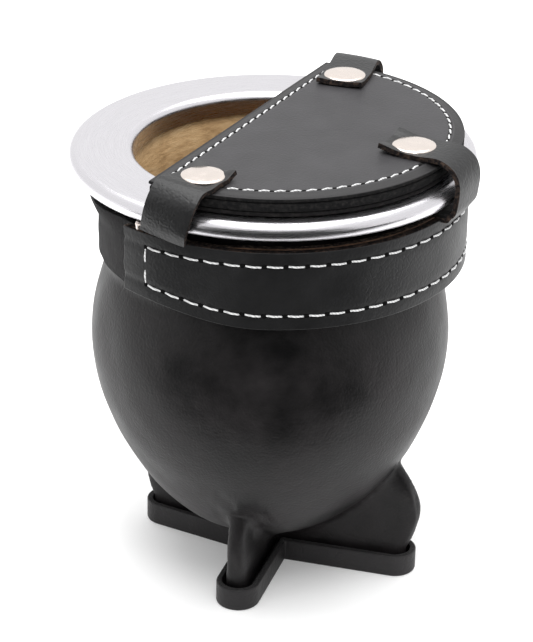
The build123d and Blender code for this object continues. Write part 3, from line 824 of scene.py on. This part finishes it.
def make_band_thread():
    """The band's stitching: a row along each edge that turns up and down at the cut end."""
    pitch = STITCH_PITCH / BAND_R
    corner = BAND_CUT + 6.8 * MM / BAND_R
    count = int((BAND_JOIN - corner) / pitch)
    front = [corner + pitch * (n + 0.5) for n in range(count)]
    back = [front[-1] + pitch * (n + 1) for n in range(int((BAND_END - front[-1]) / pitch) - 1)]
    for name, azimuths, has_end in (("band_stitches", front, True), ("band_stitches_back", back, False)):
        bm, holes = bmesh.new(), bmesh.new()
        band_row(bm, holes, azimuths, high_row, -0.05)
        band_row(bm, holes, azimuths, low_row, -0.05)
        if has_end:
            top, bottom = high_row(corner), low_row(corner)
            end_stitches = 2
            step = (top - bottom) / end_stitches
            for n in range(end_stitches):
                z = bottom + step * (n + 0.5)
                point = polar(BAND_R - 0.15 * MM + THREAD_R * 0.45, corner, z)
                lay_stitch(bm, point, Vector((0, 0, 1)), polar(1, corner), step * 0.84, THREAD_R, 0.4 * MM)
            for n in range(end_stitches + 1):
                stitch_hole_painted_shade(
                    holes, polar(BAND_R - 0.32 * MM, corner, bottom + step * n), Vector((0, 0, 1)),
                    polar(1, corner), 0.62 * MM,
                )
        thread = piece_from(bm, name, THREAD)
        # the holes are flat dark ovals of painted shade
        hole_shade_ovals = piece_from(holes, name + "_holes", HOLE_PAINTED_SHADE)
        if has_end:
            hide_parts("band_thread", "flap_thread")
            for piece in (thread, hole_shade_ovals):
                peel_blend(piece)
        else:
            for piece in (thread, hole_shade_ovals):
                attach(piece, "harness")


def make_neck_strip():
    """The inner strip of split leather that the harness turns on, flared under the rim at the left."""
    strip_r = 41.2 * MM
    flare_from, flare_to = math.radians(142), math.radians(217)

    def face(azimuth, share):
        turn = azimuth % math.tau
        starting = smooth_step(turn, flare_from, flare_from + 0.35)
        ending = 1 - smooth_step(turn, flare_to - 0.3, flare_to)
        flare = 2.3 * MM * starting * ending * smooth_step(share, 0.55, 1.0)
        return strip_r + flare + 0.1 * MM * noise.noise(Vector((azimuth * 9, share * 5, 0)))

    def low(azimuth):
        raised = smooth_step(azimuth % math.tau, math.radians(120), math.radians(175))
        return STRIP_LOW + 2.4 * MM * raised + 0.25 * MM * noise.noise(Vector((azimuth * 14, 1, 0)))

    strip = bent_sheet(
        "neck_strip_leather", math.radians(-92), math.radians(258), low, lambda a: STRIP_TOP, face,
        0.9 * MM, BLACK_SUEDE, BLACK_EDGE,
    )
    thicken(strip, 1.3 * MM, 0.3 * MM)
    finish_piece(strip, "harness", "strap_leather", "neck_strip")


# ---------------------------------------------------------------- the cover
def moon_point(shrink, share, z):
    """A point on the half-moon's outline, as a share of the way round: its round edge, then the
    straight one."""
    half = math.acos((COVER_CHORD + shrink) / (COVER_R - shrink))
    if share < MOON_ARC:
        return polar(COVER_R - shrink, COVER_FACES - half + 2 * half * share / MOON_ARC, z)
    far, near = (polar(COVER_R - shrink, COVER_FACES + side * half, z) for side in (1, -1))
    return far.lerp(near, (share - MOON_ARC) / (1 - MOON_ARC))


def half_moon(rings):
    """A solid half-moon from rings of (shrink, height), the first and last of them filled in."""
    bm = bmesh.new()
    bmesh.ops.create_grid(bm, x_segments=len(rings) - 1, y_segments=MOON_STEPS, size=0.5)
    for vert in bm.verts:
        shrink, z = rings[round((vert.co.x + 0.5) * (len(rings) - 1))]
        vert.co = moon_point(shrink, vert.co.y + 0.5, z)
    bmesh.ops.remove_doubles(bm, verts=bm.verts, dist=0.001 * MM)
    bmesh.ops.holes_fill(bm, edges=[edge for edge in bm.edges if edge.is_boundary], sides=0)
    bmesh.ops.recalc_face_normals(bm, faces=bm.faces)
    bm.normal_update()
    return bm


def make_cover():
    """The cover's three layers: a dressed top whose leather is painted lighter for the light from above, a
    thick core and a lining, pressed and cut together.
    """
    # the cut edge, as (how far inside the outline, how far up the layer) in mm
    edge = ((8.0, 0.0), (0.3, 0.0), (0.0, 0.25), (0.0, 0.6), (0.08, 0.85), (0.3, 1.05))
    rings = [(inside * MM, TOP_LOW + rise * MM) for inside, rise in edge]
    across_top = (0.6, 1.0, 1.5, 2.0, 2.4, 2.7, 3.0, 3.3, 3.6, 3.9, 4.3, 4.8, 5.6, 7, 9, 12, 16, 20)
    for inside in across_top:
        # the edge is pressed down outside the stitching, which lies in its own groove
        slope = 0.75 * (1 - smooth_step(inside, 0.0, 3.3)) ** 1.3
        groove = 0.24 * math.exp(-(((inside - 3.4) / 0.55) ** 2))
        rings.append((inside * MM, COVER_TOP - (slope + groove) * MM))
    bm = half_moon(rings)
    # the flat top takes the leather painted lighter for the light from above; the cut side, the pressed
    # border and the groove take the other two finishes
    for face in bm.faces:
        if face.normal.z < 0.5:
            face.material_index = 1
        elif face.calc_center_median().z < COVER_TOP - 0.1 * MM:
            face.material_index = 2
    top = piece_from(bm, "cover_top_leather", COVER_LEATHER_PAINTED_LIGHTER, LAYER_EDGE, DRESSED_EDGE)
    finish_piece(top, "cover", "cover_leather", "cover_top")

    core_low, core_high = CORE_LOW + 0.05 * MM, TOP_LOW - 0.1 * MM
    make_layer("cover_core_leather", "cover_core", 0.15, core_low, core_high, LAYER_EDGE, "core_board")
    lining_high = CORE_LOW - 0.1 * MM
    make_layer(
        "cover_lining_leather", "cover_lining", 0.45, COVER_LOW, lining_high, BLACK_EDGE, "lining_leather"
    )


def make_layer(name, node, shrink, low, high, material, slot):
    """One of the layers under the cover's top, cut this many mm smaller than the top."""
    rounded = ((8.0, 0), (shrink + 0.3, 0), (shrink, 0.12), (shrink - 0.06, 0.5))
    rounded += ((shrink, 0.88), (shrink + 0.3, 1), (8.0, 1))
    bm = half_moon([(inside * MM, low + (high - low) * share) for inside, share in rounded])
    for vert in bm.verts:
        # the cut edges wander a little from layer to layer
        wave = noise.noise(Vector((vert.co.x, vert.co.y, low)) / (5 * MM)) * 0.18 * MM
        vert.co += Vector((vert.co.x, vert.co.y, 0)).normalized() * wave
    finish_piece(piece_from(bm, name, material), "cover", slot, node)


def under_strap(point):
    """Whether a place on the cover is under a strap."""
    for cap, azimuth in ((FRONT_CAP, FRONT_RUN), (SIDE_CAP, SIDE_RUN), (BACK_CAP, BACK_RUN)):
        offset = point - cap
        along = offset.x * math.cos(azimuth) + offset.y * math.sin(azimuth)
        across = offset.y * math.cos(azimuth) - offset.x * math.sin(azimuth)
        if along > -STRAP_TIP and abs(across) < STRAP_W / 2 + 0.6 * MM:
            return True
    return False


def make_cover_thread():
    """The stitching round the cover: short, slanted stitches with a hole between each two, drawn as a dark
    oval of painted shade.
    """
    seam_r = COVER_R - STITCH_IN
    seam_x = COVER_CHORD + STITCH_IN
    half = math.acos(seam_x / seam_r)
    seam_y = seam_r * math.sin(half)
    places = []
    around = int(2 * half * seam_r / COVER_PITCH)
    for n in range(around):
        azimuth = COVER_FACES - half + 2 * half * (n + 0.5) / around
        places.append((polar(seam_r, azimuth), azimuth + math.pi / 2))
    across = int(2 * seam_y / COVER_PITCH)
    for n in range(across):
        y = -seam_y + 2 * seam_y * (n + 0.5) / across
        point = Matrix.Rotation(COVER_FACES, 3, "Z") @ Vector((seam_x, y, 0))
        places.append((point, COVER_FACES - math.pi / 2))
    bm, holes = bmesh.new(), bmesh.new()
    up = Vector((0, 0, 1))
    for point, direction in places:
        if under_strap(point):
            continue
        along = polar(1, direction + math.radians(7))
        height = COVER_TOP - 0.16 * MM
        lay_stitch(bm, point + up * (height + THREAD_R * 0.5), along, up, COVER_STITCH, THREAD_R, 0.3 * MM)
        hole = point + polar(COVER_PITCH / 2, direction) + up * (height - 0.06 * MM)
        stitch_hole_painted_shade(holes, hole, along, up, 0.55 * MM)
    thread = piece_from(bm, "cover_stitches", THREAD)
    finish_piece(thread, "cover", "thread", "cover_thread")
    # the holes are flat dark ovals of painted shade
    hole_shade_ovals = piece_from(holes, "cover_stitch_holes", HOLE_PAINTED_SHADE)
    finish_piece(hole_shade_ovals, "cover", "lining_leather")


# ---------------------------------------------------------------- straps and rivets
SIDES = ("front", "side", "back")
LEVEL = Vector((1, 1, 0))
FRONT_CAP, SIDE_CAP, BACK_CAP = (middle(f"{side}_rivet_cap") * LEVEL for side in SIDES)
FRONT_RUN, SIDE_RUN, BACK_RUN = (math.radians(turn) for turn in (-128, -27.3, 73))
STRAP_LOW = COVER_TOP  # the straps lie on the cover's top


def smooth_path(stations, share):
    """A place along a list of stations, each a list of vectors, on one smooth curve through them."""
    spans = len(stations) - 1
    at = min(share * spans, spans - 1e-6)
    index = int(at)
    t = at - index
    p0, p1, p2, p3 = (stations[min(max(index + k, 0), spans)] for k in (-1, 0, 1, 2))
    out = []
    for a, b, c, d in zip(p0, p1, p2, p3):
        curve = (2 * a - 5 * b + 4 * c - d) * t * t + (3 * b - a - 3 * c + d) * t**3
        out.append(0.5 * ((2 * b) + (c - a) * t + curve))
    return out


def strap_sheet(name, stations, curl):
    """A strap: a sheet swept through stations, each its middle and the way across it. curl lifts the
    corners of its tip round the rivet."""
    bm = bmesh.new()
    bmesh.ops.create_grid(bm, x_segments=84, y_segments=20, size=0.5)
    for vert in bm.verts:
        share, side = vert.co.x + 0.5, vert.co.y
        place, across = smooth_path(stations, share)
        across = across.normalized()
        after, _ = smooth_path(stations, min(share + 0.01, 1.0))
        before, _ = smooth_path(stations, max(share - 0.01, 0.0))
        up = across.cross(after - before).normalized()
        lift = curl * (1 - smooth_step(share, 0.0, 0.2)) * smooth_step(abs(side), 0.15, 0.5)
        crown = -0.2 * MM * (2 * side) ** 2 * smooth_step(share, 0.3, 0.6)
        vert.co = place + across * side * STRAP_W + up * (lift + crown)
    return bm


def rest_on_rim(bm, gap):
    """Keeps a strap's inner face off the rim, and lets it lean in below the rim's edge."""
    for vert in bm.verts:
        radius = math.hypot(vert.co.x, vert.co.y)
        below = max(0.0, RIM_TOP - 4.2 * MM - vert.co.z)
        least = RIM_R + gap - 0.3 * below
        if RIM_TOP - 6.8 * MM < vert.co.z < RIM_TOP + 0.8 * MM and radius < least:
            vert.co *= Vector((least / radius, least / radius, 1))


def make_strap(name, stations, curl, blend_to, start, end, *nodes):
    """One strap, from its tip on the cover to its end."""
    bm = strap_sheet(name, stations, curl)
    rest_on_rim(bm, 0.25 * MM)
    bmesh.ops.recalc_face_normals(bm, faces=bm.faces)
    tip_face = min(bm.faces, key=lambda face: (face.calc_center_median() - stations[0][0]).length)
    if tip_face.normal.z < 0:
        bmesh.ops.reverse_faces(bm, faces=bm.faces)
    strap = piece_from(bm, name, STRAP_LEATHER, BROWN_EDGE)
    modifier(strap, "SOLIDIFY", thickness=STRAP_T, offset=1, use_even_offset=False, material_offset_rim=1)
    soften_edges(strap, 0.2 * MM, segments=2, angle=50)
    settle(strap)
    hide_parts(*nodes)
    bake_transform(strap)
    return strap


def hanging_stations(cap, run, tip, over, end_over, slant):
    """The stations of a strap that goes over the rim and hangs there: its tip, the rivet, the arch over
    the rim and the hanging end. over and end_over are where it passes the rim and where it ends."""
    lie = STRAP_LOW + 0.05 * MM
    rise = Vector((0, 0, 1))
    on_top = polar(1, run - math.pi / 2)
    across = polar(1, over - math.pi / 2) + rise * slant
    at_end = polar(1, end_over - math.pi / 2) + rise * slant
    turns = [over + (end_over - over) * part for part in (0.1, 0.35, 0.7)]
    return [
        (cap - polar(tip, run) + rise * (lie + 0.3 * MM), on_top),
        (cap - polar(tip / 2, run) + rise * lie, on_top),
        (cap + polar(0.5 * MM, run) + rise * lie, on_top),
        (cap + polar(4.2 * MM, run) + rise * lie, (on_top + across) / 2),
        (polar(46.6 * MM, over) + rise * (lie + 0.1 * MM), across),
        (polar(48.9 * MM, turns[0]) + rise * (lie - 1.7 * MM), across),
        (polar(49.3 * MM, turns[1]) + rise * (RIM_TOP + 1.2 * MM), across),
        (polar(49.0 * MM, turns[2]) + rise * (RIM_TOP - 2.6 * MM), at_end),
        (polar(47.8 * MM, end_over) + rise * (STRAP_END + 0.8 * MM), at_end),
    ]


def make_straps():
    """The three straps. Each is one length of leather that bends where it leaves the cover."""
    over_front, end_front, over_back = (math.radians(turn) for turn in (-115.8, -119.7, 64))
    front = hanging_stations(FRONT_CAP, FRONT_RUN, 5.0 * MM, over_front, end_front, 0.15)
    make_strap(
        "strap_front", front, 1.1 * MM, "front_strap", polar(43.5 * MM, over_front, COVER_TOP),
        polar(47.5 * MM, over_front, COVER_TOP - 3 * MM), "front_strap_tip", "front_strap",
    )
    back = hanging_stations(BACK_CAP, BACK_RUN, 5.6 * MM, over_back, over_back, 0.0)
    make_strap(
        "strap_back", back, 0.3 * MM, "back_strap", polar(43.5 * MM, over_back, COVER_TOP),
        polar(47.5 * MM, over_back, COVER_TOP - 3 * MM), "back_strap_tip", "back_strap",
    )
    across = polar(1, SIDE_RUN - math.pi / 2)
    rise = Vector((0, 0, 1))
    lie = STRAP_LOW + 0.05 * MM
    side = [
        (SIDE_CAP - polar(6.6 * MM, SIDE_RUN) + rise * (lie + 0.3 * MM), across),
        (SIDE_CAP - polar(3.5 * MM, SIDE_RUN) + rise * lie, across),
        (SIDE_CAP + rise * lie, across),
        (SIDE_CAP + polar(4 * MM, SIDE_RUN) + rise * lie, across),
        (polar(44.4 * MM, SIDE_RUN) + rise * (lie + 0.2 * MM), across),
        (polar(47.7 * MM, SIDE_RUN) + rise * (lie - 1.5 * MM), across),
        (polar(49.0 * MM, SIDE_RUN) + rise * (RIM_TOP + 1.2 * MM), across),
        (polar(48.9 * MM, SIDE_RUN) + rise * (RIM_TOP - 2.6 * MM), across),
        (polar(48.1 * MM, SIDE_RUN) + rise * (BAND_TOP + 1.6 * MM), across),
        (polar(45.2 * MM, SIDE_RUN) + rise * (BAND_TOP + 0.75 * MM), across),
        (polar(42.6 * MM, SIDE_RUN) + rise * (BAND_TOP - 0.6 * MM), across),
        (polar(41.9 * MM, SIDE_RUN) + rise * (BAND_TOP - 4 * MM), across),
        (polar(41.9 * MM, SIDE_RUN) + rise * (BAND_TOP - 14 * MM), across),
    ]
    make_strap(
        "strap_side", side, 1.0 * MM, "harness", polar(FLIP_R, SIDE_RUN, BAND_TOP + 3.2 * MM),
        polar(FLIP_R, SIDE_RUN, BAND_TOP + 0.6 * MM), "side_strap_tip", "side_strap", "side_strap_root",
    )


def make_rivets():
    """The three rivet caps: domed and rolled at the edge."""
    for side in SIDES:
        node = f"{side}_rivet_cap"
        low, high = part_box(node)
        radius = (high.x - low.x) / 2
        section = [(0.0, high.z), (radius * 0.55, high.z - 0.05 * MM), (radius * 0.86, high.z - 0.16 * MM)]
        section += [(radius * 0.97, high.z - 0.34 * MM), (radius, high.z - 0.55 * MM)]
        section += [(radius * 0.99, low.z + 0.15 * MM), (radius * 0.95, low.z), (0.0, low.z)]
        bm = bmesh.new()
        corners = [bm.verts.new((r, 0, z)) for r, z in section]
        lines = [bm.edges.new(pair) for pair in zip(corners, corners[1:])]
        bmesh.ops.spin(
            bm, geom=corners + lines, cent=(0, 0, 0), axis=(0, 0, 1), angle=math.tau, steps=72,
            use_merge=True,
        )
        bmesh.ops.remove_doubles(bm, verts=bm.verts, dist=0.001 * MM)
        bmesh.ops.recalc_face_normals(bm, faces=bm.faces)
        bmesh.ops.translate(bm, verts=bm.verts, vec=middle(node) * LEVEL)
        cap = piece_from(bm, f"{side}_cap", NICKEL)
        finish_piece(cap, "cover", "cap_nickel", node)
        paint_node(f"{side}_rivet_post", NICKEL)


def paint_node(node, material):
    """Gives a node whose shape is right its finish."""
    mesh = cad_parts[node].data
    for place in range(len(mesh.materials)):
        mesh.materials[place] = material


# ---------------------------------------------------------------- build
make_wrap()
make_rim()
make_gourd()
make_foot()
make_neck_strip()
make_band()
make_band_thread()
make_cover()
make_cover_thread()
make_straps()
make_rivets()
paint_node("anchor_stud", NICKEL)
paint_node("hook_tape", HOOK_TAPE)


# ---------------------------------------------------------------- studio
def make_floor():
    """A sheet of plain pale paper."""
    bm = bmesh.new()
    bmesh.ops.create_grid(bm, x_segments=1, y_segments=1, size=4.0)
    paper, _, shader, _ = new_material("studio_paper")
    shader.inputs["Base Color"].default_value = linear("#f4f4f4")
    shader.inputs["Roughness"].default_value = 0.9
    shader.inputs["Specular IOR Level"].default_value = 0.1
    # the sheet is lit from below as well
    shader.inputs["Emission Color"].default_value = linear("#ffffff")
    shader.inputs["Emission Strength"].default_value = 0.12
    floor = piece_from(bm, "studio_floor", paper)


def soft_box(name, place, aim, width, height, power):
    """A rectangular soft light that faces a point."""
    light = bpy.data.lights.new(name, "AREA")
    light.shape = "RECTANGLE"
    light.size = width
    light.size_y = height
    light.energy = power
    lamp = bpy.data.objects.new(name, light)
    bpy.context.scene.collection.objects.link(lamp)
    lamp.location = place
    lamp.rotation_euler = (Vector(aim) - Vector(place)).to_track_quat("-Z", "Y").to_euler()


def make_flag():
    """A black cloth that lies and hangs in front of the set. Only reflections see it: it keeps the
    middle of the leather and the edge of the rim dark."""
    bm = bmesh.new()
    near = [bm.verts.new((side * 0.6, -0.075, 0.002)) for side in (-1, 1)]
    grown = bmesh.ops.extrude_edge_only(bm, edges=[bm.edges.new(near)])["geom"]
    bmesh.ops.translate(bm, verts=only(bmesh.types.BMVert, grown), vec=(0, -0.6, 0))
    grown = bmesh.ops.extrude_edge_only(bm, edges=only(bmesh.types.BMEdge, grown))["geom"]
    bmesh.ops.translate(bm, verts=only(bmesh.types.BMVert, grown), vec=(0, -0.1, 0.5))
    cloth, _, shader, _ = new_material("black_flag_cloth")
    shader.inputs["Base Color"].default_value = linear("#101010")
    shader.inputs["Roughness"].default_value = 1.0
    flag = piece_from(bm, "studio_flag", cloth)
    flag.visible_camera = False
    flag.visible_diffuse = False
    flag.visible_shadow = False


def make_studio():
    """The floor, a white surround, two soft lights above and the black cloth in front."""
    make_floor()
    world = bpy.data.worlds.new("studio")
    world.use_nodes = True
    surround = world.node_tree.nodes["Background"]
    surround.inputs["Color"].default_value = linear("#ffffff")
    surround.inputs["Strength"].default_value = 1.0
    bpy.context.scene.world = world
    soft_box("overhead", (0, 0.15, 1.0), (0, 0, 0.08), 1.0, 0.8, 8)
    soft_box("key", (0.03, -0.45, 1.0), (0, 0, 0.1), 0.35, 0.35, 3.2)
    make_flag()
    bpy.context.scene.view_settings.view_transform = "Standard"


def make_camera():
    """The camera: a long lens, about five cup heights away, looking down at the front."""
    target = Vector((-0.93 * MM, 0, 61.18 * MM))
    distance = 588.96 * MM
    elevation = math.radians(26.1)
    data = bpy.data.cameras.new("camera")
    data.sensor_fit = "VERTICAL"
    data.sensor_height = 36
    data.lens = 136.15
    data.clip_start = 0.01
    camera = bpy.data.objects.new("camera", data)
    bpy.context.scene.collection.objects.link(camera)
    camera.location = target + Vector((0, -math.cos(elevation), math.sin(elevation))) * distance
    look = (target - camera.location).to_track_quat("-Z", "Y").to_matrix().to_4x4()
    tilt = Matrix.Rotation(math.radians(0.96), 4, "Z")
    camera.rotation_euler = (look @ tilt).to_euler()
    bpy.context.scene.camera = camera


make_studio()
make_camera()
